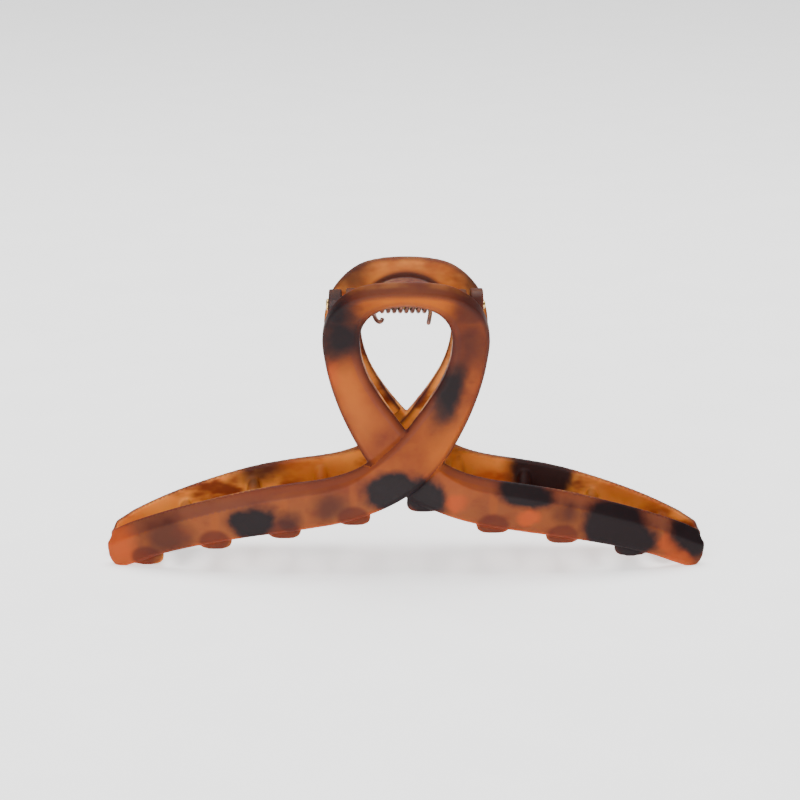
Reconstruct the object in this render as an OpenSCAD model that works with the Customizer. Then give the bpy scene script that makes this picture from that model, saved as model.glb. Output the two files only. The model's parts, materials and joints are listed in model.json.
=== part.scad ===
// Claw clip: two crossed-ribbon jaws on one hinge pin, closed by a torsion spring.
// The frame has X along the arms, Y through the two jaws and Z up. The clip stands on its arm tips.

/* [Clip] */
// Height of the hinge pin above the arm tips
pin_z = 54.4; // [50:0.1:60]
// Thickness of the handle bar at the top of each loop
bar_t = 3.9; // [3:0.1:4.5]
// Thickness of the loop's side limbs
limb_t = 3.6; // [2.8:0.1:3.8]
// Thickness of the long arms
arm_t = 2.5; // [2:0.1:3]

/* [Side profile] */
// Distance from the pin to the outer face where the loop is narrowest
waist_y = 8.9; // [8.5:0.1:10]
// How far the handle bar flares out beyond the waist
flare_y = 8.2; // [6:0.1:9]
// Height over which the flare fades out
flare_fade = 7; // [6:0.5:9]
// How far the jaw bellies out between the waist and the arms
belly_y = 5.4; // [4:0.1:6]

/* [Arms] */
// Half length of the ellipse that the arms follow in plan
bow_x = 66; // [65:0.5:70]
// Half width of the ellipse that the arms follow in plan
bow_y = 14.6; // [13:0.1:16]
// How far the crossing ribbons sit in front of and behind each other
cross_step = 0.6; // [0.3:0.1:0.8]

/* [Teeth] */
// Number of teeth on each jaw
tooth_count = 8; // [6:1:8]
// Distance between two teeth of one jaw
tooth_pitch = 14.4; // [14:0.1:14.8]
// Width of a tooth at its root
tooth_w = 7; // [6:0.1:7]
// Height of a tooth at its root
tooth_h = 4.1; // [3:0.1:4.5]
// Space between a tooth's tip and the other jaw
tip_gap = 0.7; // [0.5:0.1:1.5]

/* [Hinge] */
// Diameter of the hinge pin
pin_d = 1.6; // [1.4:0.1:1.8]
// Diameter of the pin's head
head_d = 2.4; // [2.2:0.1:3]
// Outer radius of a hinge lug
lug_r = 3.2; // [2.8:0.1:3.4]
// Width of a hinge lug along the pin
lug_w = 2.7; // [2.2:0.1:2.8]
// Distance from the middle to the outer face of an outer lug
lug_x = 16; // [15.8:0.1:16.4]

/* [Spring] */
// Diameter of the spring wire
wire_d = 0.9; // [0.7:0.1:1]
// Outer diameter of the coil
coil_d = 3.8; // [3.6:0.1:4]
// Distance between two turns
coil_pitch = 1.25; // [1.2:0.05:1.3]
// Number of turns in the coil
coil_turns = 8; // [7:1:8]

/* [Hidden] */
$fn = 48;
bore_play = 0.05;
lug_gap = 0.8;
head_t = 0.6;
head_play = 0.05;

// One ribbon, from the middle of the handle bar, down its limb, over the crossing and out
// along an arm. Each row is a point on the outer edge and one on the inner edge, as [x, z]
// on the outer face, with the pin at z = 0.
EDGES = [
    [[0, 4.9], [0, 1.7]],
    [[5, 4.7], [3.4, 1.3]],
    [[9.5, 3.9], [6.3, 0.1]],
    [[13.3, 1.9], [8.2, -1.7]],
    [[16, -1.1], [9.2, -3.8]],
    [[17.2, -5.4], [9.5, -6.2]],
    [[16.7, -10.4], [9.1, -9.7]],
    [[15.5, -15.6], [7.7, -13.7]],
    [[13.6, -20.8], [5.4, -17.6]],
    [[10.9, -26], [2.5, -21.4]],
    [[7.6, -31], [-0.7, -25.2]],
    [[3.4, -35.3], [-4.2, -28.4]],
    [[-1.6, -38.8], [-8.3, -31]],
    [[-7.6, -41.6], [-12.5, -32.9]],
    [[-14.2, -43.6], [-17.5, -34.2]],
    [[-23, -45.2], [-24.5, -35.3]],
    [[-33, -46.8], [-33, -37]],
    [[-43, -48.9], [-42.4, -39.6]],
    [[-51, -51.2], [-50.2, -42.1]],
    [[-57, -53.7], [-57.2, -44.8]],
    [[-60.2, -54.8], [-60.8, -46.6]],
    [[-62, -53.4], [-62.1, -47.4]],
    [[-62.6, -51], [-62.6, -49]]
];
LOOP_ROWS = 5;   // rows of the loop before the limb is straight
CROSS_ROW = 11.5;   // row in the middle of the crossing
CROSS_REACH = 3.5;   // rows over which a ribbon steps back in line
STEPS = 3;   // rings for each row

function unit(v) = v / norm(v);
function mix(a, b, f) = a * (1 - f) + b * f;
function clamp01(f) = max(0, min(1, f));
function ease(f) = let (c = clamp01(f)) c * c * (3 - 2 * c);
function softmin(a, b) = -ln(exp(-a) + exp(-b));

// Outer face of a jaw as a distance from the middle plane
belly_top = 18;
belly_fade = 24;
flare_clear = 12;
function side_y(z) = waist_y + flare_y * exp((z - EDGES[0][0][1]) / flare_fade)
    + belly_y * ease((-z - belly_top) / belly_fade);
function plan_y(x, z) = bow_y * sqrt(max(0.02, 1 - pow(x / bow_x, 2)))
    + flare_clear * (1 - ease((-z - belly_top) / 10));
function face_y(x, z) = softmin(side_y(z), plan_y(x, z));
function face_normal(x, z) = let (d = 0.05,
    slope_x = (face_y(x + d, z) - face_y(x - d, z)) / (2 * d),
    slope_z = (face_y(x, z + d) - face_y(x, z - d)) / (2 * d))
    unit([-slope_x, -1, -slope_z]);

// A smooth curve through the rows, at row number r
function hermite(p0, p1, p2, p3, f) = p1 + f * (p2 - p0) / 2
    + f * f * (p0 - 2.5 * p1 + 2 * p2 - p3 / 2) + f * f * f * (1.5 * (p1 - p2) + (p3 - p0) / 2);
function mirror_x(p) = [-p[0], p[1]];
function row_point(i, side) = i < 0 ? mirror_x(EDGES[-i][side]) : EDGES[min(i, len(EDGES) - 1)][side];
function edge_point(r, side) = let (i = floor(r), f = r - i) hermite(row_point(i - 1, side),
    row_point(i, side), row_point(i + 1, side), row_point(i + 2, side), f);

// Section of the ribbon at row r, as [place across from the inner edge, depth below the outer face]
function ribbon_t(r) = mix(mix(bar_t, limb_t, ease(r / LOOP_ROWS)), arm_t, ease((r - 9) / 6));
function ribbon_section(r, w) = let (t = ribbon_t(r), arm = ease((r - 10) / 4), c = 0.35,
    top_w = min(mix(1.2, 3, arm), 0.45 * w), top_d = mix(0.6, 1.5, arm),
    low_w = mix(0.7, 0.5, arm), low_d = mix(0.6, 0.4, arm))
    [[0, top_d], [top_w, 0], [w - low_w, 0], [w, low_d], [w, t - c], [w - c, t], [c, t], [0, t - c]];

// Step is +1 for the ribbon that passes in front at the crossing and -1 for the other
function ribbon_ring(r, step) = let (a = edge_point(r, 1), b = edge_point(r, 0), w = norm(b - a),
    lift = step * cross_step * (1 - ease(abs(r - CROSS_ROW) / CROSS_REACH)))
    [for (q = ribbon_section(r, w)) let (p = mix(a, b, q[0] / w), n = face_normal(p[0], p[1]))
        [p[0], -face_y(p[0], p[1]), p[1]] + n * (lift - q[1])];

// A closed solid through rings with the same number of points, whichever way round they go
function area_vector(ring, j = 0) = j == len(ring) ? [0, 0, 0]
    : cross(ring[j], ring[(j + 1) % len(ring)]) + area_vector(ring, j + 1);
module skin(rings) {
    n = len(rings[0]);
    m = len(rings);
    points = [for (ring = rings) each ring];
    sides = [for (i = [0 : m - 2]) for (j = [0 : n - 1]) let (k = (j + 1) % n)
        each [[i * n + j, i * n + k, (i + 1) * n + k], [i * n + j, (i + 1) * n + k, (i + 1) * n + j]]];
    caps = [[for (j = [n - 1 : -1 : 0]) j], [for (j = [0 : n - 1]) (m - 1) * n + j]];
    faces = concat(sides, caps);
    forward = area_vector(rings[0]) * (rings[1][0] - rings[0][0]) < 0;
    polyhedron(points, forward ? faces : [for (f = faces) [for (i = [len(f) - 1 : -1 : 0]) f[i]]], 10);
}

module ribbon(step) {
    last = len(EDGES) - 1;
    skin([for (i = [0 : last * STEPS]) ribbon_ring(i / STEPS, step)]);
}

// Edges of the arms at distance x from the middle
LOW_EDGE = [for (i = [12 : 20]) [abs(EDGES[i][0][0]), EDGES[i][0][1]]];
TOP_EDGE = [for (i = [10 : 20]) [abs(EDGES[i][1][0]), EDGES[i][1][1]]];
function low_z(x) = lookup(abs(x), LOW_EDGE);
function top_z(x) = lookup(abs(x), TOP_EDGE);
function inner_y(x, z) = face_y(x, z) + arm_t / face_normal(x, z)[1];

// A tooth runs from the arm's lower edge across to the other jaw, with its tip a little higher
tooth_tip_w = 4.2;
tooth_tip_h = 2.9;
tooth_drop = 1.6;
tooth_rise = 1.7;
tooth_root = 1.2;
TOOTH_RINGS = [0, 0.2, 0.4, 0.6, 0.8, 0.92, 0.98, 1];
TOOTH_SIZES = [1, 1, 1, 1, 1, 0.9, 0.68, 0.35];
function tooth_x(k) = (k - (tooth_count - 1) / 2) * tooth_pitch - tooth_pitch / 4;
function round_section(w, h) = [for (a = [15 : 30 : 345]) let (c = cos(a), s = sin(a))
    [sign(c) * w / 2 * pow(abs(c), 0.7), sign(s) * h / 2 * pow(abs(s), 0.7)]];

module tooth(x) {
    root_z = low_z(x) + tooth_h / 2 - tooth_drop;
    tip_z = root_z + tooth_rise;
    root_y = -inner_y(x, root_z) - tooth_root;
    tip_y = inner_y(abs(x) + tooth_tip_w / 2, tip_z) - tip_gap;
    skin([for (i = [0 : len(TOOTH_RINGS) - 1]) let (f = TOOTH_RINGS[i], k = TOOTH_SIZES[i],
        w = mix(tooth_w, tooth_tip_w, f) * k, h = mix(tooth_h, tooth_tip_h, f) * k,
        z = mix(root_z, tip_z, f) - 0.5 * sin(180 * f))
        [for (q = round_section(w, h)) [x + q[0], mix(root_y, tip_y, f), z + q[1]]]]);
}

// A gusset backs each tooth and fades out below the bevel on the arm's upper edge
gusset_w = 3;
gusset_d = 2.2;
gusset_root = 0.9;
gusset_below = 2.4;
GUSSET_RINGS = [0, 0.35, 0.65, 0.85, 0.96, 1];
module gusset(x) {
    low = low_z(x) + 1.5;
    high = top_z(x) - gusset_below;
    skin([for (f = GUSSET_RINGS) let (z = mix(low, high, f), y = -inner_y(x, z),
        w = gusset_w * sqrt(1.02 - pow(f, 4)) / 2, d = mix(gusset_d, 0.9, f) * sqrt(1.02 - pow(f, 6)))
        [[x + w, y - gusset_root, z], [x + w, y + d * 0.4, z], [x + w * 0.6, y + d * 0.9, z],
        [x, y + d, z], [x - w * 0.6, y + d * 0.9, z], [x - w, y + d * 0.4, z], [x - w, y - gusset_root, z]]]);
}

// A lug carries the pin. Its web runs out to the limb, from x to x + lug_w
WEB = [[0, lug_r - 0.15], [-7, 2.2], [-10.8, -0.2], [-9.2, -6.8], [-5, -4.6], [0, -lug_r + 0.15]];
module lug(x) {
    translate([x, 0, 0]) rotate([90, 0, 90]) {
        cylinder(r = lug_r, h = lug_w);
        linear_extrude(lug_w) polygon(WEB);
    }
}

module jaw() {
    difference() {
        union() {
            ribbon(1);
            mirror([1, 0, 0]) ribbon(-1);
            for (k = [0 : tooth_count - 1]) {
                tooth(tooth_x(k));
                gusset(tooth_x(k));
            }
            lug(-lug_x);
            lug(lug_x - lug_w - lug_gap - lug_w);
        }
        // Pin bore, through both lugs
        translate([-2 * lug_x, 0, 0]) rotate([0, 90, 0]) cylinder(d = pin_d + 2 * bore_play, h = 4 * lug_x);
        // Small flats that the clip stands on
        translate([-bow_x, -bow_y, -pin_z - 2]) cube([2 * bow_x, 2 * bow_y, 2]);
    }
}

module front_jaw() {
    color("chocolate") translate([0, 0, pin_z]) jaw();
}

module back_jaw() {
    color("peru") translate([0, 0, pin_z]) rotate([0, 0, 180]) jaw();
}

tail_l = 0.5;
module hinge_pin() {
    color("gold") translate([-lug_x - head_t - head_play, 0, pin_z]) rotate([0, 90, 0]) {
        cylinder(d = head_d, h = head_t);
        cylinder(d = pin_d, h = 2 * lug_x + head_t + head_play + tail_l);
    }
}

// The spring is one wire. Its coil turns round the pin, and angle 0 is at the bottom of a turn
coil_r = (coil_d - wire_d) / 2;
coil_start = -5;
RING_STEP = 20;
split_angle = -180;
split_gap = 14;
function coil_point(a) = [coil_start + coil_pitch * a / 360, -coil_r * sin(a), -coil_r * cos(a)];
BACK_HOOK = [[-6.6, 1.3, -1.9], [-6.6, 2.4, -2.8], [-6.2, 3.3, -3.9], [-5.6, 4, -4.5], [-5.1, 4.7, -4.4],
    [-4.9, 5.1, -3.9]];
FRONT_LEG = [[5, -1.5, -1.5], [4.9, -3.5, -1.75], [4.75, -5.5, -2.05], [4.6, -7.6, -2.45]];

module wire(path) {
    last = len(path) - 1;
    skin([for (i = [0 : last]) let (t = unit(path[min(i + 1, last)] - path[max(i - 1, 0)]),
        u = unit(cross(t, [1, 0, 0])), v = cross(t, u))
        [for (a = [0 : 45 : 315]) path[i] + (u * cos(a) + v * sin(a)) * wire_d / 2]]);
}

module torsion_spring() {
    turns = [for (a = [split_angle : RING_STEP : 360 * coil_turns]) coil_point(a)];
    color("sienna") translate([0, 0, pin_z]) wire(concat(turns, FRONT_LEG));
}

module spring_back_leg() {
    turn = [for (a = [split_angle - split_gap : -RING_STEP : -360]) coil_point(a)];
    color("sienna") translate([0, 0, pin_z]) wire(concat(turn, BACK_HOOK));
}

front_jaw();
back_jaw();
hinge_pin();
torsion_spring();
spring_back_leg();
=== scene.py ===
"""Claw clip: two frosted tortoiseshell jaws with crossed ribbons, a hinge pin and a torsion spring."""
import json
import math

import bmesh
import bpy
import numpy as np
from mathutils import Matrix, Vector
from mathutils.kdtree import KDTree

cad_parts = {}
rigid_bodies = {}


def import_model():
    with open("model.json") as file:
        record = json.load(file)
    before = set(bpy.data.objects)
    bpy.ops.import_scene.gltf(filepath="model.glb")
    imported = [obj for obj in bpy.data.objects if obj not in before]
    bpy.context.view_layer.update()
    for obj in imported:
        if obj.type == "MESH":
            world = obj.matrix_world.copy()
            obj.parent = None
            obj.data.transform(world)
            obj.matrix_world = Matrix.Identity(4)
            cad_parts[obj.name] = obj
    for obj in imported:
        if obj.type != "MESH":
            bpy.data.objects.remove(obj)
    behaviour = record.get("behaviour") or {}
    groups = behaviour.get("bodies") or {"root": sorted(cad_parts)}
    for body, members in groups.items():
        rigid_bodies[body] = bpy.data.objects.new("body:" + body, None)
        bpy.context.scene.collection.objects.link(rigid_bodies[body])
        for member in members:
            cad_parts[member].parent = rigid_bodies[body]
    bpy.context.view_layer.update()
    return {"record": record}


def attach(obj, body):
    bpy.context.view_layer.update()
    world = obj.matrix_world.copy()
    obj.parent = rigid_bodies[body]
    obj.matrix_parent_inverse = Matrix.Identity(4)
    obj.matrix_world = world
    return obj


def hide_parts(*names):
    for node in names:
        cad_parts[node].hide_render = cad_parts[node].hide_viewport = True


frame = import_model()

MM = 0.001
HINGE = frame["record"]["behaviour"]["joints"][0]
PIN = np.array(HINGE["pos_m"]) / MM   # a point on the hinge axis, in millimetres
FRONT = HINGE["parent"]
BACK = HINGE["child"]

# ---------------------------------------------------------------- jaw dimensions, in millimetres
# The jaws are worked out about the hinge pin, with z = 0 on its axis and the front jaw at -y.
BAR_T, LIMB_T, ARM_T = 3.9, 3.6, 2.5
WAIST_Y, FLARE_Y, FLARE_FADE = 8.9, 8.2, 7.0
BELLY_Y, BELLY_TOP, BELLY_FADE = 5.4, 18.0, 24.0
BOW_X, BOW_Y, FLARE_CLEAR = 66.0, 14.6, 12.0
CROSS_STEP, CROSS_ROW, CROSS_REACH = 0.6, 11.5, 3.5
TEETH, TOOTH_PITCH = 8, 14.4
TOOTH_W, TOOTH_H = 7.0, 4.1
TOOTH_TIP_W, TOOTH_TIP_H = 4.2, 2.9
TOOTH_DROP, TOOTH_RISE, TOOTH_ROOT, TIP_GAP = 1.6, 1.7, 1.2, 0.7
GUSSET_W, GUSSET_D, GUSSET_ROOT, GUSSET_BELOW = 3.0, 2.2, 0.9, 2.4
LUG_R, LUG_W, LUG_X, LUG_GAP = 3.2, 2.7, 16.0, 0.8
PIN_R, HEAD_R, HEAD_T, HEAD_PLAY, TAIL_L, BORE_PLAY = 0.8, 1.2, 0.6, 0.05, 0.5, 0.05
WIRE_R, COIL_R, COIL_PITCH, COIL_TURNS, COIL_START = 0.45, 1.45, 1.25, 8, -5.0

# One ribbon, from the middle of the handle bar, down its limb, over the crossing and out along an
# arm: a point on the outer edge and one on the inner edge of its outer face, as (x, z).
EDGES = np.array([
    [[0, 4.9], [0, 1.7]],
    [[5, 4.7], [3.4, 1.3]],
    [[9.5, 3.9], [6.3, 0.1]],
    [[13.3, 1.9], [8.2, -1.7]],
    [[16, -1.1], [9.2, -3.8]],
    [[17.2, -5.4], [9.5, -6.2]],
    [[16.7, -10.4], [9.1, -9.7]],
    [[15.5, -15.6], [7.7, -13.7]],
    [[13.6, -20.8], [5.4, -17.6]],
    [[10.9, -26], [2.5, -21.4]],
    [[7.6, -31], [-0.7, -25.2]],
    [[3.4, -35.3], [-4.2, -28.4]],
    [[-1.6, -38.8], [-8.3, -31]],
    [[-7.6, -41.6], [-12.5, -32.9]],
    [[-14.2, -43.6], [-17.5, -34.2]],
    [[-23, -45.2], [-24.5, -35.3]],
    [[-33, -46.8], [-33, -37]],
    [[-43, -48.9], [-42.4, -39.6]],
    [[-51, -51.2], [-50.2, -42.1]],
    [[-57, -53.7], [-57.2, -44.8]],
    [[-60.2, -54.8], [-60.8, -46.6]],
    [[-62, -53.4], [-62.1, -47.4]],
    [[-62.6, -51], [-62.6, -49]],
])
LOWER_EDGE_ROWS = slice(12, 21)   # the rows that the arms' lower edge follows
UPPER_EDGE_ROWS = slice(10, 21)   # and their upper edge
ARM_END = len(EDGES) - 1
RINGS_PER_ROW = 8
ACROSS_SAMPLES = 15
VOXEL = 0.27
SMOOTH_PASSES = 4


def mix(a, b, f):
    return a * (1 - f) + b * f


def ease(f):
    c = max(0.0, min(1.0, f))
    return c * c * (3 - 2 * c)


def side_y(z):
    """Outer face of the loop as a distance from the middle plane: flared top, waist and belly."""
    flare = FLARE_Y * math.exp((z - EDGES[0][0][1]) / FLARE_FADE)
    return WAIST_Y + flare + BELLY_Y * ease((-z - BELLY_TOP) / BELLY_FADE)


def plan_y(x, z):
    """Outer face of the arms, which follow an ellipse in plan."""
    bow = BOW_Y * math.sqrt(max(0.02, 1 - (x / BOW_X) ** 2))
    return bow + FLARE_CLEAR * (1 - ease((-z - BELLY_TOP) / 10))


def face_y(x, z):
    """Outer face anywhere on the jaw: whichever of the two lies nearer in, blended where they meet."""
    return -math.log(math.exp(-side_y(z)) + math.exp(-plan_y(x, z)))


def face_normal(x, z):
    d = 0.05
    slope_x = (face_y(x + d, z) - face_y(x - d, z)) / (2 * d)
    slope_z = (face_y(x, z + d) - face_y(x, z - d)) / (2 * d)
    n = np.array([-slope_x, -1.0, -slope_z])
    return n / np.linalg.norm(n)


def inner_y(x, z):
    """Inner face of the arms."""
    return face_y(x, z) + ARM_T / face_normal(x, z)[1]


def row_point(i, side):
    if i < 0:
        return EDGES[-i][side] * [-1, 1]
    return EDGES[min(i, ARM_END)][side]


def curve_point(p0, p1, p2, p3, f):
    """The point a fraction f along a smooth curve from p1 to p2, between neighbours p0 and p3."""
    return (p1 + f * (p2 - p0) / 2 + f * f * (p0 - 2.5 * p1 + 2 * p2 - p3 / 2)
            + f ** 3 * (1.5 * (p1 - p2) + (p3 - p0) / 2))


def edge_point(r, side):
    """A smooth curve through the rows of EDGES, at row number r."""
    i = int(math.floor(r))
    return curve_point(*[row_point(i + k, side) for k in (-1, 0, 1, 2)], r - i)


def ribbon_section(r, w):
    """Section of the ribbon as (place across from the inner edge, depth below the outer face)."""
    t = mix(mix(BAR_T, LIMB_T, ease(r / 5)), ARM_T, ease((r - 9) / 6))
    arm = ease((r - 10) / 4)
    c = 0.35
    top_w, top_d = min(mix(1.2, 3.0, arm), 0.45 * w), mix(0.6, 1.5, arm)
    low_w, low_d = mix(0.7, 0.5, arm), mix(0.6, 0.4, arm)
    return [(0, top_d), (top_w, 0), (w - low_w, 0), (w, low_d), (w, t - c), (w - c, t), (c, t), (0, t - c)]


def ribbon_lift(r, step):
    """step is +1 for the ribbon that passes in front at the crossing and -1 for the other."""
    return step * CROSS_STEP * (1 - ease(abs(r - CROSS_ROW) / CROSS_REACH))


def ribbon_stops():
    """Row numbers from the middle of the bar to the arm's end, RINGS_PER_ROW to each row."""
    return [i / RINGS_PER_ROW for i in range(ARM_END * RINGS_PER_ROW + 1)]


def ribbon_rings(step):
    rings = []
    for r in ribbon_stops():
        a, b = edge_point(r, 1), edge_point(r, 0)
        w = np.linalg.norm(b - a)
        lift = ribbon_lift(r, step)
        ring = []
        for across, depth in ribbon_section(r, w):
            x, z = mix(a, b, across / w)
            ring.append(np.array([x, -face_y(x, z), z]) + face_normal(x, z) * (lift - depth))
        rings.append(ring)
    return rings


def low_z(x):
    """Lower edge of the arms at distance x from the middle."""
    edge = EDGES[LOWER_EDGE_ROWS, 0]
    return np.interp(abs(x), abs(edge[:, 0]), edge[:, 1])


def top_z(x):
    """Upper edge of the arms at distance x from the middle."""
    edge = EDGES[UPPER_EDGE_ROWS, 1]
    return np.interp(abs(x), abs(edge[:, 0]), edge[:, 1])


def tooth_x(k):
    return (k - (TEETH - 1) / 2) * TOOTH_PITCH - TOOTH_PITCH / 4


def round_section(w, h, sides=20, squareness=0.7):
    """An oval of width w and height h. A squareness under 1 fills out its corners."""
    def reach(part, size):
        return math.copysign(size / 2 * abs(part) ** squareness, part)

    angles = [2 * math.pi * (i + 0.5) / sides for i in range(sides)]
    return [(reach(math.cos(a), w), reach(math.sin(a), h)) for a in angles]


def tooth_rings(x):
    """A tooth runs from the arm's lower edge across to the other jaw, its tip a little higher."""
    root_z = low_z(x) + TOOTH_H / 2 - TOOTH_DROP
    tip_z = root_z + TOOTH_RISE
    root_y = -inner_y(x, root_z) - TOOTH_ROOT
    tip_y = inner_y(abs(x) + TOOTH_TIP_W / 2, tip_z) - TIP_GAP
    rings = []
    stops = [(i / 16, 1.0) for i in range(14)] + [(0.92, 0.92), (0.96, 0.8), (0.985, 0.6), (1, 0.3)]
    for f, k in stops:
        w, h = mix(TOOTH_W, TOOTH_TIP_W, f) * k, mix(TOOTH_H, TOOTH_TIP_H, f) * k
        z = mix(root_z, tip_z, f) - 0.5 * math.sin(math.pi * f)
        rings.append([(x + qx, mix(root_y, tip_y, f), z + qz) for qx, qz in round_section(w, h)])
    return rings


def gusset_rings(x):
    """A pointed rib backs each tooth and fades out just under the arm's upper edge."""
    low, high = low_z(x) + 1.5, top_z(x) - GUSSET_BELOW
    arc = [math.pi * j / 8 for j in range(9)]
    steps = 14
    rings = []
    for i in range(steps + 1):
        f = 1 - (1 - i / steps) ** 2
        z = mix(low, high, f)
        y = -inner_y(x, z)
        w = GUSSET_W * math.sqrt(1.02 - f ** 4) / 2
        d = mix(GUSSET_D, 0.9, f) * math.sqrt(1.02 - f ** 6)
        nose = [(x + w * math.cos(a), y + d * (0.35 + 0.65 * math.sin(a)), z) for a in arc]
        rings.append([(x + w, y - GUSSET_ROOT, z), *nose, (x - w, y - GUSSET_ROOT, z)])
    return rings


def lug_rings(x):
    """A hinge lug: a round knuckle on the pin with a web out to the limb, extruded along X."""
    angles = [math.radians(a) for a in range(-85, 91, 7)]
    knuckle = [(LUG_R * math.cos(a), LUG_R * math.sin(a)) for a in angles]
    outline = knuckle + [(-7, 2.2), (-10.8, -0.2), (-9.2, -6.8), (-5, -4.6)]
    return [[(x + f * LUG_W, y, z) for y, z in outline] for f in (0, 0.5, 1)]


# ---------------------------------------------------------------- mesh helpers
def circle(x, radius, sides):
    """A ring of points about the hinge axis."""
    angles = [2 * math.pi * i / sides for i in range(sides)]
    return [(x, radius * math.cos(a), radius * math.sin(a)) for a in angles]


def add_shell(bm, rings, close_ends=True):
    """Adds a closed skin through rings of points, in millimetres."""
    rows = [[bm.verts.new(tuple(float(c) for c in p)) for p in ring] for ring in rings]
    n = len(rows[0])
    faces = []
    for low, high in zip(rows, rows[1:]):
        for j in range(n):
            faces.append(bm.faces.new((low[j], low[(j + 1) % n], high[(j + 1) % n], high[j])))
    if close_ends:
        faces.append(bm.faces.new(rows[0][::-1]))
        faces.append(bm.faces.new(rows[-1]))
    bmesh.ops.recalc_face_normals(bm, faces=faces)
    return faces


def to_object(name, bm, smooth=True):
    mesh = bpy.data.meshes.new(name)
    bm.to_mesh(mesh)
    bm.free()
    for polygon in mesh.polygons:
        polygon.use_smooth = smooth
    piece = bpy.data.objects.new(name, mesh)
    bpy.context.scene.collection.objects.link(piece)
    return piece


def apply_modifiers(piece):
    """Bakes a piece's modifiers into its mesh."""
    graph = bpy.context.evaluated_depsgraph_get()
    mesh = bpy.data.meshes.new_from_object(piece.evaluated_get(graph))
    old = piece.data
    piece.modifiers.clear()
    piece.data = mesh
    mesh.name = piece.name
    bpy.data.meshes.remove(old)


def place(mesh, turn=1):
    """Moves a mesh made in millimetres about the pin to its place, in metres.

    turn = -1 is half a turn about Z.
    """
    points = np.empty(len(mesh.vertices) * 3)
    mesh.vertices.foreach_get("co", points)
    points = points.reshape(-1, 3) * (turn, turn, 1) + PIN
    points[:, 2] = np.maximum(points[:, 2], 0)   # the tips stand on the surface
    mesh.vertices.foreach_set("co", (points * MM).ravel())
    mesh.update()


# ---------------------------------------------------------------- jaws
def ribbon_places():
    """Points all over the two ribbons' outer faces, each with its place across, width and directions."""
    places = []
    for flip in (1, -1):
        for r in ribbon_stops():
            a, b = edge_point(r, 1), edge_point(r, 0)
            w = np.linalg.norm(b - a)
            row = []
            for across in np.linspace(0, w, ACROSS_SAMPLES):
                x, z = mix(a, b, across / w)
                normal = face_normal(x, z)
                point = np.array([x, -face_y(x, z), z]) + normal * ribbon_lift(r, flip)
                row.append((point * (flip, 1, 1), across, w, normal * (flip, 1, 1)))
            slant = row[-1][0] - row[0][0]
            places += [(*place_on, slant / np.linalg.norm(slant)) for place_on in row]
    return [np.array(column) for column in zip(*places)]


def mark_ribbon(mesh):
    """Stores each point's place on its ribbon, in millimetres, and how far it faces up.

    "ribbon" holds the distances from the inner edge and from the outer edge, and the depth below
    the outer face. The materials follow the moulding with it.
    """
    points, across, width, normals, slants = ribbon_places()
    tree = KDTree(len(points))
    for i, point in enumerate(points):
        tree.insert(point, i)
    tree.balance()
    count = len(mesh.vertices)
    where = np.empty(count * 3)
    mesh.vertices.foreach_get("co", where)
    where = where.reshape(-1, 3)
    near = np.array([tree.find(co)[1] for co in where])
    offset = where - points[near]
    inner = across[near] + np.einsum("ij,ij->i", offset, slants[near])
    depth = -np.einsum("ij,ij->i", offset, normals[near])
    ribbon = mesh.attributes.new("ribbon", "FLOAT_VECTOR", "POINT")
    ribbon.data.foreach_set("vector", np.column_stack((inner, width[near] - inner, depth)).ravel())
    facing = np.empty(count * 3)
    mesh.vertices.foreach_get("normal", facing)
    up = mesh.attributes.new("up", "FLOAT", "POINT")
    up.data.foreach_set("value", facing.reshape(-1, 3)[:, 2].copy())


def build_jaw():
    """One jaw in millimetres about the pin, moulded in one piece: every shell is fused by a remesh."""
    bm = bmesh.new()
    add_shell(bm, ribbon_rings(1))
    add_shell(bm, [[p * (-1, 1, 1) for p in ring] for ring in ribbon_rings(-1)])
    for k in range(TEETH):
        add_shell(bm, tooth_rings(tooth_x(k)))
        add_shell(bm, gusset_rings(tooth_x(k)))
    add_shell(bm, lug_rings(-LUG_X))
    add_shell(bm, lug_rings(LUG_X - 2 * LUG_W - LUG_GAP))
    jaw = to_object("jaw", bm)
    remesh = jaw.modifiers.new("fuse", "REMESH")
    remesh.mode = "VOXEL"
    remesh.voxel_size = VOXEL
    soften = jaw.modifiers.new("soften", "SMOOTH")
    soften.factor = 0.5
    soften.iterations = SMOOTH_PASSES
    apply_modifiers(jaw)

    drill_mesh = bmesh.new()
    past_lugs = LUG_X + 4
    add_shell(drill_mesh, [circle(x, PIN_R + BORE_PLAY, 48) for x in (-past_lugs, past_lugs)])
    drill = to_object("drill", drill_mesh)
    bore = jaw.modifiers.new("bore", "BOOLEAN")
    bore.operation = "DIFFERENCE"
    bore.solver = "EXACT"
    bore.object = drill
    apply_modifiers(jaw)
    bpy.data.objects.remove(drill)
    for polygon in jaw.data.polygons:
        polygon.use_smooth = True
    mark_ribbon(jaw.data)
    return jaw


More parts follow.
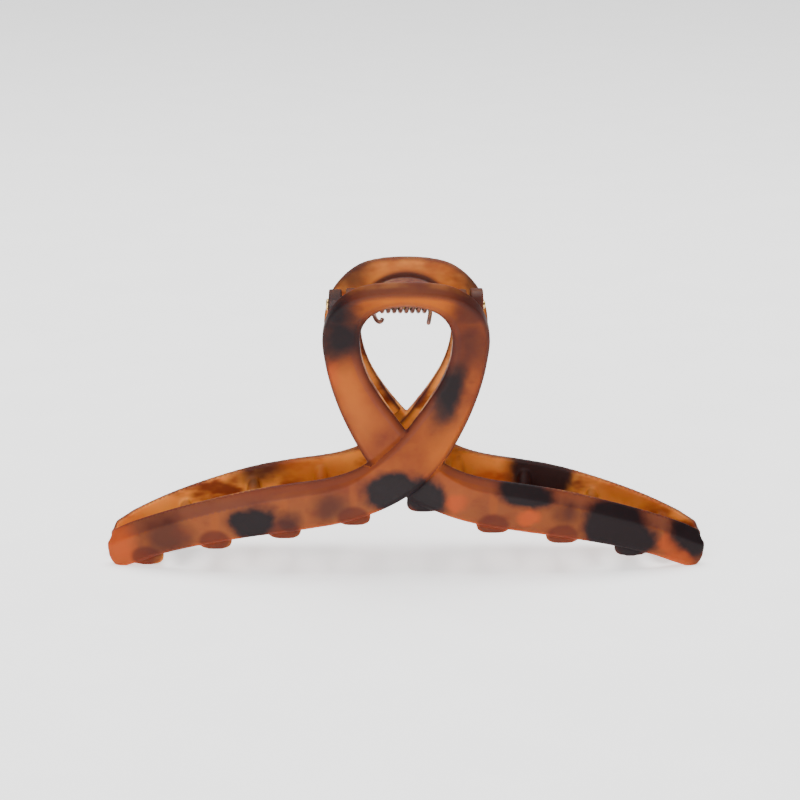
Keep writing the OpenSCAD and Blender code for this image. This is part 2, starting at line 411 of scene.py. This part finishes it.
front_jaw = build_jaw()
front_jaw.name = "front_jaw_shell"
back_jaw = bpy.data.objects.new("back_jaw_shell", front_jaw.data.copy())
bpy.context.scene.collection.objects.link(back_jaw)
place(front_jaw.data)
place(back_jaw.data, turn=-1)
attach(front_jaw, FRONT)
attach(back_jaw, BACK)
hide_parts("front_jaw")
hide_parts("back_jaw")


# ---------------------------------------------------------------- hinge pin
def build_pin():
    """A turned pin: domed head, shank and a rounded tail."""
    start = -LUG_X - HEAD_PLAY - HEAD_T
    end = LUG_X + TAIL_L
    profile = [(start, 0.25), (start + 0.03, 0.7), (start + 0.12, 1.0), (start + 0.26, HEAD_R),
               (start + HEAD_T - 0.08, HEAD_R), (start + HEAD_T, HEAD_R - 0.08), (start + HEAD_T, PIN_R)]
    profile += [(mix(start + HEAD_T, end - 0.3, f), PIN_R) for f in (0.001, 0.25, 0.5, 0.75, 1)]
    profile += [(end - 0.12, 0.72), (end - 0.03, 0.5), (end, 0.2)]
    bm = bmesh.new()
    add_shell(bm, [circle(x, r, 40) for x, r in profile])
    return to_object("hinge_pin_turned", bm)


pin = build_pin()
place(pin.data)
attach(pin, FRONT)
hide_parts("hinge_pin")


# ---------------------------------------------------------------- torsion spring
SPLIT_ANGLE, SPLIT_GAP, RING_STEP = -180, 14, 10
BACK_HOOK = [(-6.6, 1.3, -1.9), (-6.6, 2.4, -2.8), (-6.2, 3.3, -3.9), (-5.6, 4, -4.5), (-5.1, 4.7, -4.4),
             (-4.9, 5.1, -3.9)]
FRONT_LEG = [(5, -1.5, -1.5), (4.9, -3.5, -1.75), (4.75, -5.5, -2.05), (4.6, -7.6, -2.45)]


def coil_point(angle):
    a = math.radians(angle)
    return (COIL_START + COIL_PITCH * angle / 360, -COIL_R * math.sin(a), -COIL_R * math.cos(a))


def smooth_path(points, steps=6):
    """A rounded path through given points."""
    p = [np.array(q, dtype=float) for q in points]
    p = [2 * p[0] - p[1]] + p + [2 * p[-1] - p[-2]]
    path = []
    for i in range(1, len(p) - 2):
        path += [curve_point(*p[i - 1:i + 3], s / steps) for s in range(steps)]
    return path + [p[-2]]


def build_wire(name, path):
    """Round wire along a path, with rounded ends that stay within the path's length."""
    path = [np.array(p, dtype=float) for p in path]
    rings = []
    last = len(path) - 1
    for i, p in enumerate(path):
        t = path[min(i + 1, last)] - path[max(i - 1, 0)]
        t /= np.linalg.norm(t)
        u = np.cross(t, (1, 0, 0))
        u /= np.linalg.norm(u)
        v = np.cross(t, u)
        if i in (0, last):
            caps = [(0.0, 0.35), (0.06, 0.7), (0.18, 0.92)]
        else:
            caps = [(0.0, 1.0)]
        inward = t if i == 0 else -t
        group = [[p + inward * back * WIRE_R + (u * math.cos(a) + v * math.sin(a)) * WIRE_R * k
                  for a in [2 * math.pi * j / 16 for j in range(16)]] for back, k in caps]
        rings += group if i == 0 else group[::-1]
    bm = bmesh.new()
    add_shell(bm, rings)
    return to_object(name, bm)


coil_turns = [coil_point(a) for a in range(SPLIT_ANGLE, 360 * COIL_TURNS + 1, RING_STEP)]
coil = build_wire("spring_coil_wire", coil_turns[:-1] + smooth_path([coil_turns[-1]] + FRONT_LEG))
last_turn = [coil_point(a) for a in range(SPLIT_ANGLE - SPLIT_GAP, -361, -RING_STEP)]
back_leg = build_wire("spring_back_wire", last_turn[:-1] + smooth_path([last_turn[-1]] + BACK_HOOK))
place(coil.data)
place(back_leg.data)
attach(coil, FRONT)
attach(back_leg, BACK)
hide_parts("torsion_spring")
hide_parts("spring_back_leg")


# ---------------------------------------------------------------- materials
def new_material(name):
    """An empty node material with a Principled shader, and a helper that adds and wires nodes."""
    material = bpy.data.materials.new(name)
    material.use_nodes = True
    tree = material.node_tree
    tree.nodes.clear()
    out = tree.nodes.new("ShaderNodeOutputMaterial")
    shader = tree.nodes.new("ShaderNodeBsdfPrincipled")
    tree.links.new(shader.outputs["BSDF"], out.inputs["Surface"])

    def add(kind, sets=None, **links):
        node = tree.nodes.new("ShaderNode" + kind)
        for key, value in (sets or {}).items():
            if isinstance(key, str) and hasattr(node, key):
                setattr(node, key, value)
            else:
                node.inputs[key].default_value = value
        for key, source in links.items():
            socket = node.inputs[int(key[1:])] if key[1:].isdigit() else node.inputs[key]
            tree.links.new(source, socket)
        return node

    return material, tree, shader, add


def position_mm(add):
    """Position on the object in millimetres, about the hinge pin."""
    place_at = add("TexCoord").outputs["Object"]
    sets = {"operation": "MULTIPLY_ADD", 1: (1 / MM,) * 3, 2: tuple(-PIN)}
    return add("VectorMath", sets, i0=place_at).outputs[0]


def blend_colour(add, low, high, factor):
    node = add("Mix", {"data_type": "RGBA"})
    node.inputs[6].default_value = (*low, 1) if isinstance(low, tuple) else (0, 0, 0, 1)
    node.inputs[7].default_value = (*high, 1) if isinstance(high, tuple) else (0, 0, 0, 1)
    links = node.id_data.links
    if not isinstance(low, tuple):
        links.new(low, node.inputs[6])
    if not isinstance(high, tuple):
        links.new(high, node.inputs[7])
    links.new(factor, node.inputs[0])
    return node.outputs[2]


def remap(add, source, low, high, to_low=0.0, to_high=1.0):
    sets = {"interpolation_type": "SMOOTHSTEP", 1: low, 2: high, 3: to_low, 4: to_high}
    return add("MapRange", sets, i0=source).outputs[0]


def either(add, first, second):
    return add("Math", {"operation": "MAXIMUM"}, i0=first, i1=second).outputs[0]


def patch_mask(add, at, patches):
    """1 inside any of the patches.

    A patch is (x, z, half width, half height, tilt in degrees, softness of its edge).
    """
    total = None
    for x, z, half_x, half_z, tilt, soft in patches:
        a = math.radians(tilt)
        moved = add("VectorMath", {"operation": "SUBTRACT", 1: (x, 0, z)}, i0=at).outputs[0]
        across = (math.cos(a) / half_x, 0, math.sin(a) / half_x)
        along = (-math.sin(a) / half_z, 0, math.cos(a) / half_z)
        u = add("VectorMath", {"operation": "DOT_PRODUCT", 1: across}, i0=moved).outputs["Value"]
        v = add("VectorMath", {"operation": "DOT_PRODUCT", 1: along}, i0=moved).outputs["Value"]
        pair = add("CombineXYZ", None, i0=u, i1=v).outputs[0]
        reach = add("VectorMath", {"operation": "LENGTH"}, i0=pair).outputs["Value"]
        mask = remap(add, reach, 1 + soft, 1 - soft)
        total = mask if total is None else either(add, total, mask)
    return total


def noise(add, at, scale, detail=3.0, rough=0.55, stretch=(1, 1, 1)):
    """Noise about 0.5, with scale in features per millimetre."""
    placed = add("VectorMath", {"operation": "MULTIPLY", 1: stretch}, i0=at).outputs[0]
    sets = {"noise_dimensions": "3D", "Scale": scale, "Detail": detail, "Roughness": rough}
    return add("TexNoise", sets, Vector=placed)


# Colours of the moulding, as linear light; some stand for painted shade, glow and shadow, as noted
GOLD = (0.31, 0.064, 0.004)
AMBER = (0.17, 0.026, 0.003)
RUSSET = (0.12, 0.013, 0.003)
ARM_TAN = (0.185, 0.046, 0.009)
# painted shade: the darker purple-brown of upward faces, the arms' bevels and the lugs
PAINTED_TOP_SHADE = (0.105, 0.032, 0.022)
# painted shade along edges seen at a grazing angle and on the ribs' sides
PAINTED_EDGE_SHADE = (0.045, 0.008, 0.006)
# painted glow of light coming through the inner faces
PAINTED_INNER_GLOW = (0.86, 0.290, 0.040)
INNER_BROWN = (0.19, 0.028, 0.003)
# painted glow: light coming through the plastic, in soft spots
GLOW_GOLD = (0.42, 0.096, 0.004)
# orange; also the painted glow along the arms' lower chamfer
EMBER = (0.45, 0.060, 0.002)
# painted shadow where the teeth's roots thicken the wall
PAINTED_TOOTH_SHADOW = (0.080, 0.007, 0.001)
# painted glow of the other jaw's tips seen through the arms
TOOTH_GLOW = (0.48, 0.055, 0.002)
PATCH_LINING = (0.022, 0.004, 0.003)
PATCH_DARK = (0.006, 0.001, 0.002)
PATCH_EDGE = (0.035, 0.005, 0.003)


LOOP_Z, ARM_Z = -34.0, -41.0   # heights between which the loop's look gives way to the arms'


def tooth_glow_and_shadow(turn):
    """Where painted light and shade go on a jaw's arms: shadow over its own teeth's roots, glow at
    the other jaw's tips and light streaks over the ribs, as these show through its arms.
    """
    roots, tips, ribs = [], [], []
    for k in range(TEETH):
        x, low, high = turn * tooth_x(k), low_z(tooth_x(k)), top_z(tooth_x(k))
        root = low + TOOTH_H / 2 - TOOTH_DROP
        roots.append((x, root, 3.3, 2.3, 0, 0.22))
        tips.append((-x, root + TOOTH_RISE + 1.2, 2.0, 1.5, 0, 0.45))
        ribs.append((x, mix(low, high, 0.50), 0.9, 2.6, 0, 0.5))
    return roots, tips, ribs


def scaled(add, mask, strength):
    return add("Math", {"operation": "MULTIPLY", 1: strength}, i0=mask).outputs[0]


def overlap(add, first, *others):
    """Where all of the masks hold."""
    for mask in others:
        first = add("Math", {"operation": "MULTIPLY"}, i0=first, i1=mask).outputs[0]
    return first


def warped(add, at, scale, reach):
    """Position moved about by noise, up to about reach / 2 millimetres, for organic borders."""
    field = noise(add, at, scale, 3.0).outputs["Color"]
    shift = add("VectorMath", {"operation": "SUBTRACT", 1: (0.5, 0.5, 0.5)}, i0=field).outputs[0]
    return add("VectorMath", {"operation": "MULTIPLY_ADD", 1: (reach,) * 3}, i0=shift, i2=at).outputs[0]


def tortoiseshell(name, turn, patches, faint, glow_spots, ember):
    """Frosted translucent amber with dark tortoiseshell patches that have red-brown borders.

    turn is -1 for the back jaw, whose teeth lie half a turn round. Patches, faint brown clouds,
    spots of painted golden glow and ember-orange clouds are lists of ellipses, as patch_mask says.
    Shade, glow and the teeth's shadows are painted into the colour as well.
    """
    material, tree, shader, add = new_material(name)
    at = position_mm(add)
    z = add("SeparateXYZ", None, i0=at).outputs["Z"]
    ribbon = add("SeparateXYZ", None, i0=add("Attribute", {"attribute_name": "ribbon"}).outputs["Vector"])
    inner, outer, depth = ribbon.outputs["X"], ribbon.outputs["Y"], ribbon.outputs["Z"]
    up = add("Attribute", {"attribute_name": "up"}).outputs["Fac"]
    warp = warped(add, warped(add, at, 0.11, 4.5), 0.24, 2.6)

    arm = remap(add, z, LOOP_Z, ARM_Z)
    loop = remap(add, z, ARM_Z, LOOP_Z)
    outside = remap(add, depth, 2.6, 1.6)
    inside = remap(add, depth, 1.5, 2.3)

    def tint(colour_below, colour, mask, strength=1.0):
        return blend_colour(add, colour_below, colour, scaled(add, mask, strength))

    # The two tones of the plastic, and the tan of the arms' outer faces
    cloud = remap(add, noise(add, at, 0.075, 4.0).outputs["Fac"], 0.34, 0.66)
    base = blend_colour(add, AMBER, GOLD, cloud)
    base = tint(base, ARM_TAN, arm, 0.75)
    streaks = noise(add, at, 0.16, 3.0, 0.6, (1, 1, 2)).outputs["Fac"]
    base = tint(base, RUSSET, remap(add, streaks, 0.52, 0.74, 0.0, 0.45))

    # Painted light streaks over the ribs and painted glow at the other jaw's tips, which show through the
    # arms
    roots, tips, ribs = tooth_glow_and_shadow(turn)
    varied = remap(add, noise(add, at, 0.05, 1.0).outputs["Fac"], 0.42, 0.58, 0.05, 0.6)
    # painted light streaks over the ribs
    base = tint(base, GOLD, overlap(add, patch_mask(add, at, ribs), outside), 0.35)
    base = tint(base, TOOTH_GLOW, overlap(add, patch_mask(add, warp, tips), varied))

    # Inner faces get a painted golden glow of light coming through, with brown drifts in the plastic, and
    # the ribs' sides get painted shade
    drift = remap(add, noise(add, at, 0.10, 3.0, 0.55, (1, 1, 2)).outputs["Fac"], 0.44, 0.66)
    inner_glow_and_drift = blend_colour(add, PAINTED_INNER_GLOW, INNER_BROWN, drift)
    base = tint(base, inner_glow_and_drift, inside, 0.85)
    # painted shade on the sides of the ribs behind the arms
    rib_side_shade = overlap(add, remap(add, depth, 2.7, 3.2), remap(add, depth, 4.4, 3.6), arm)
    base = tint(base, PAINTED_EDGE_SHADE, rib_side_shade, 0.50)

    # Painted shade on the arms' upper bevel, on surfaces that face up and along the loop's edges, with
    # painted glow in between
    bevel = overlap(add, remap(add, inner, 3.2, 2.7), arm, outside)
    base = tint(base, PAINTED_TOP_SHADE, bevel, 0.62)
    # painted shade on surfaces that face up
    base = tint(base, PAINTED_TOP_SHADE, overlap(add, remap(add, up, 0.3, 0.85), outside), 0.35)
    rim = add("Math", {"operation": "MINIMUM"}, i0=inner, i1=outer).outputs[0]
    # painted shade: a darker amber band along the loop's edges
    base = tint(base, AMBER, overlap(add, remap(add, rim, 3.0, 0.3), loop, outside), 0.70)
    # painted glow spots where light comes through the plastic
    base = tint(base, GLOW_GOLD, patch_mask(add, warp, glow_spots), 0.80)
    base = tint(base, EMBER, patch_mask(add, warp, ember), 0.65)
    # painted shade: a band just inside the loop's inner edge
    base = tint(base, PAINTED_TOP_SHADE, overlap(add, remap(add, inner, 2.1, 1.6), loop, outside), 0.35)
    # painted shade along the loop's edges and every inner edge, seen at a grazing angle
    base = tint(base, PAINTED_EDGE_SHADE, overlap(add, remap(add, rim, 1.1, 0.0), loop), 0.75)
    base = tint(base, PAINTED_EDGE_SHADE, remap(add, inner, 0.5, -0.1), 0.75)
    # painted glow and highlight on the wall of the loop's opening, lit through the plastic
    wall = overlap(add, remap(add, depth, 0.6, 1.3), remap(add, depth, 3.3, 2.6))
    base = tint(base, inner_glow_and_drift, overlap(add, wall, remap(add, inner, 0.3, -0.1), loop), 0.80)

    # Painted glow along the arms' lower edge, painted shadow over the roots of the teeth and painted shade
    # on the lugs
    # painted glow of light coming through the arms' lower chamfer
    lower = overlap(add, remap(add, outer, 0.7, 0.1), remap(add, outer, -0.8, -0.2), arm, outside)
    base = tint(base, EMBER, lower, 0.6)
    # painted shadow over the roots of the jaw's own teeth
    base = tint(base, PAINTED_TOOTH_SHADOW, patch_mask(add, at, roots), 0.80)
    # painted shade on the lugs' upward faces
    lug = overlap(add, remap(add, depth, 3.9, 4.8), remap(add, z, -9.0, -6.0))
    base = tint(base, PAINTED_TOP_SHADE, lug, 0.7)

    # Tortoiseshell patches, with a red-brown border
    wider = [(x, h, a * 1.2, b * 1.2, tilt, soft * 1.8) for x, h, a, b, tilt, soft in patches]
    clouds = scaled(add, patch_mask(add, warp, faint), 0.80)
    base = tint(base, PATCH_EDGE, either(add, patch_mask(add, warp, wider), clouds))
    deep = blend_colour(add, PATCH_DARK, PATCH_LINING, inside)
    base = tint(base, deep, patch_mask(add, warp, patches))
    tree.links.new(base, shader.inputs["Base Color"])

    frost = noise(add, at, 2.6, 3.0, 0.6)
    rough = remap(add, frost.outputs["Fac"], 0.3, 0.7, 0.48, 0.58)
    tree.links.new(rough, shader.inputs["Roughness"])
    bump = add("Bump", {"Strength": 0.10, "Distance": 0.00006}, Height=frost.outputs["Fac"])
    tree.links.new(bump.outputs["Normal"], shader.inputs["Normal"])
    shader.inputs["IOR"].default_value = 1.49
    shader.inputs["Specular IOR Level"].default_value = 0.12
    shader.inputs["Subsurface Weight"].default_value = 0.5
    shader.inputs["Subsurface Radius"].default_value = (1.0, 0.32, 0.10)
    shader.inputs["Subsurface Scale"].default_value = 0.0025
    shader.inputs["Transmission Weight"].default_value = 0.15
    return material


FRONT_PATCHES = [
    (-14.4, 0.2, 3.8, 3.4, 0, 0.80), (-13.8, -4.6, 4.4, 4.6, 0, 0.50), (9.3, -16.0, 2.3, 6.0, -20, 0.55),
    (-2.6, -37.0, 6.0, 3.5, -5, 0.14), (4.2, -37.9, 4.2, 2.8, -25, 0.16),
    (-31.6, -43.3, 4.3, 2.9, 0, 0.20), (24.6, -37.2, 5.3, 2.4, -16, 0.20),
    (43.6, -44.6, 6.2, 4.8, -12, 0.14), (46.6, -47.6, 4.6, 3.6, 0, 0.14),
    (60.2, -47.8, 4.6, 4.4, -35, 0.22),
]
FRONT_FAINT = [
    (-13.7, -0.6, 5.4, 7.0, 0, 0.5), (13.8, 1.4, 5.2, 4.0, 0, 0.6), (13.2, -6.0, 4.4, 5.5, 0, 0.8),
    (-49.6, -47.2, 5.0, 4.6, 0, 0.5), (-24.4, -42.8, 2.6, 2.0, 0, 0.6), (-16.0, -39.5, 3.4, 3.0, 0, 0.7),
    (33.5, -41.5, 3.0, 2.0, -20, 0.8),
]
# spots of painted glow on the front jaw
FRONT_GLOW_SPOTS = [
    (-11.5, -18.0, 3.0, 8.5, 20, 0.8), (8.5, -27.0, 2.6, 6.5, -35, 0.8), (0.0, 3.4, 10.0, 3.4, 0, 0.6),
]
FRONT_EMBER = [
    (-60.0, -50.4, 3.8, 4.4, 0, 0.7),
    (-15.6, -12.0, 1.6, 3.0, 0, 0.8),
    (57.0, -51.8, 3.4, 2.6, 0, 0.6),
]
BACK_PATCHES = [
    (29.0, -38.8, 5.8, 4.8, -12, 0.2), (-20.0, -46.0, 4.6, 2.6, 0, 0.2), (14.0, -45.5, 4.8, 2.6, 0, 0.25),
    (-47.0, -51.0, 5.4, 2.6, 12, 0.2),
]
BACK_FAINT = [
    (-12.0, 5.0, 4.6, 4.0, 20, 0.6),
    (14.0, 3.0, 3.0, 4.0, 0, 0.6),
    (-31.0, -38.0, 5.0, 2.4, 10, 0.7),
]
# spots of painted glow on the back jaw
BACK_GLOW_SPOTS = [
    (0.0, 2.6, 12.0, 5.0, 0, 0.5),
    (-20.0, -38.0, 9.0, 3.5, 0, 0.6),
    (48.0, -42.5, 8.0, 3.0, -15, 0.6),
]
BACK_EMBER = [
    (-14.0, -6.0, 2.4, 5.0, 0, 0.8),
    (20.0, -40.0, 5.0, 2.4, 0, 0.8),
    (-58.0, -50.0, 4.0, 4.0, 0, 0.7),
]


def metal(name, colour, deep, roughness, metallic, grain):
    """Drawn metal: its colour and gloss vary along fine draw lines."""
    material, tree, shader, add = new_material(name)
    at = position_mm(add)
    lines = noise(add, at, grain, 4.0, 0.6, (0.25, 1, 1)).outputs["Fac"]
    wear = remap(add, noise(add, at, 0.8, 3.0).outputs["Fac"], 0.35, 0.7)
    tree.links.new(blend_colour(add, deep, colour, wear), shader.inputs["Base Color"])
    gloss = remap(add, lines, 0.3, 0.7, roughness * 0.8, roughness * 1.25)
    tree.links.new(gloss, shader.inputs["Roughness"])
    bump = add("Bump", {"Strength": 0.15, "Distance": 0.00002}, Height=lines)
    tree.links.new(bump.outputs["Normal"], shader.inputs["Normal"])
    shader.inputs["Metallic"].default_value = metallic
    return material


front_plastic = tortoiseshell(
    "front_tortoiseshell", 1, FRONT_PATCHES, FRONT_FAINT, FRONT_GLOW_SPOTS, FRONT_EMBER)
back_plastic = tortoiseshell("back_tortoiseshell", -1, BACK_PATCHES, BACK_FAINT, BACK_GLOW_SPOTS, BACK_EMBER)
for jaw_piece, plastic in ((front_jaw, front_plastic), (back_jaw, back_plastic)):
    jaw_piece.data.materials.clear()
    jaw_piece.data.materials.append(plastic)
pin.data.materials.append(metal("drawn_brass", (0.83, 0.58, 0.22), (0.55, 0.32, 0.10), 0.26, 1.0, 3.0))
spring_metal = metal("bronze_coated_wire", (0.30, 0.115, 0.065), (0.10, 0.040, 0.030), 0.30, 0.55, 3.0)
coil.data.materials.append(spring_metal)
back_leg.data.materials.append(spring_metal)


# ---------------------------------------------------------------- floor, light and camera
FLOOR, FLOOR_T = 4.0, 0.01   # half the floor's side and its thickness, in metres
FLOOR_GREY, FLOOR_WHITE = (0.86, 0.86, 0.855), (0.90, 0.90, 0.895)


def build_stage():
    bm = bmesh.new()
    corners = [(-FLOOR, -FLOOR), (FLOOR, -FLOOR), (FLOOR, FLOOR), (-FLOOR, FLOOR)]
    add_shell(bm, [[(x, y, z) for x, y in corners] for z in (-FLOOR_T, 0)])
    floor = to_object("floor", bm, smooth=False)
    material, tree, shader, add = new_material("pale_floor")
    grain = noise(add, add("TexCoord").outputs["Object"], 40.0, 3.0).outputs["Fac"]
    shade = blend_colour(add, FLOOR_GREY, FLOOR_WHITE, remap(add, grain, 0.3, 0.7))
    tree.links.new(shade, shader.inputs["Base Color"])
    shader.inputs["Roughness"].default_value = 0.75
    shader.inputs["Emission Color"].default_value = (1, 1, 1, 1)
    shader.inputs["Emission Strength"].default_value = 1.1
    floor.data.materials.append(material)


def add_light(name, place_at, aim, size, watts, colour=(1, 1, 1)):
    data = bpy.data.lights.new(name, "AREA")
    data.shape = "DISK"
    data.size = size
    data.energy = watts
    data.color = colour
    light = bpy.data.objects.new(name, data)
    light.location = place_at
    light.rotation_euler = (Vector(aim) - Vector(place_at)).to_track_quat("-Z", "Y").to_euler()
    bpy.context.scene.collection.objects.link(light)


def build_world():
    world = bpy.data.worlds.new("studio")
    world.use_nodes = True
    world.node_tree.nodes["Background"].inputs["Color"].default_value = (1.0, 1.0, 1.0, 1)
    world.node_tree.nodes["Background"].inputs["Strength"].default_value = 0.35
    bpy.context.scene.world = world


CAMERA_ELEVATION = math.radians(12.7)
LENS, SENSOR = 150.0, 36.0
VIEW_WIDTH = 0.167   # width of the frame at the hinge pin, in metres
AIM = Vector((-0.00125, 0.0, 0.0341))


def build_camera():
    data = bpy.data.cameras.new("camera")
    data.lens = LENS
    data.sensor_width = SENSOR
    data.clip_start, data.clip_end = 0.01, 20
    camera = bpy.data.objects.new("camera", data)
    back_off = VIEW_WIDTH * LENS / SENSOR
    direction = Vector((0, -math.cos(CAMERA_ELEVATION), math.sin(CAMERA_ELEVATION)))
    camera.location = AIM + direction * back_off
    camera.rotation_euler = (-direction).to_track_quat("-Z", "Y").to_euler()
    bpy.context.scene.collection.objects.link(camera)
    bpy.context.scene.camera = camera


build_stage()
build_world()
add_light("overhead", (0.0, 0.20, 0.90), (0, 0, 0), 0.9, 13.0)
add_light("key", (-0.20, -0.90, 0.20), (0, 0, 0.02), 0.8, 12.0)
build_camera()
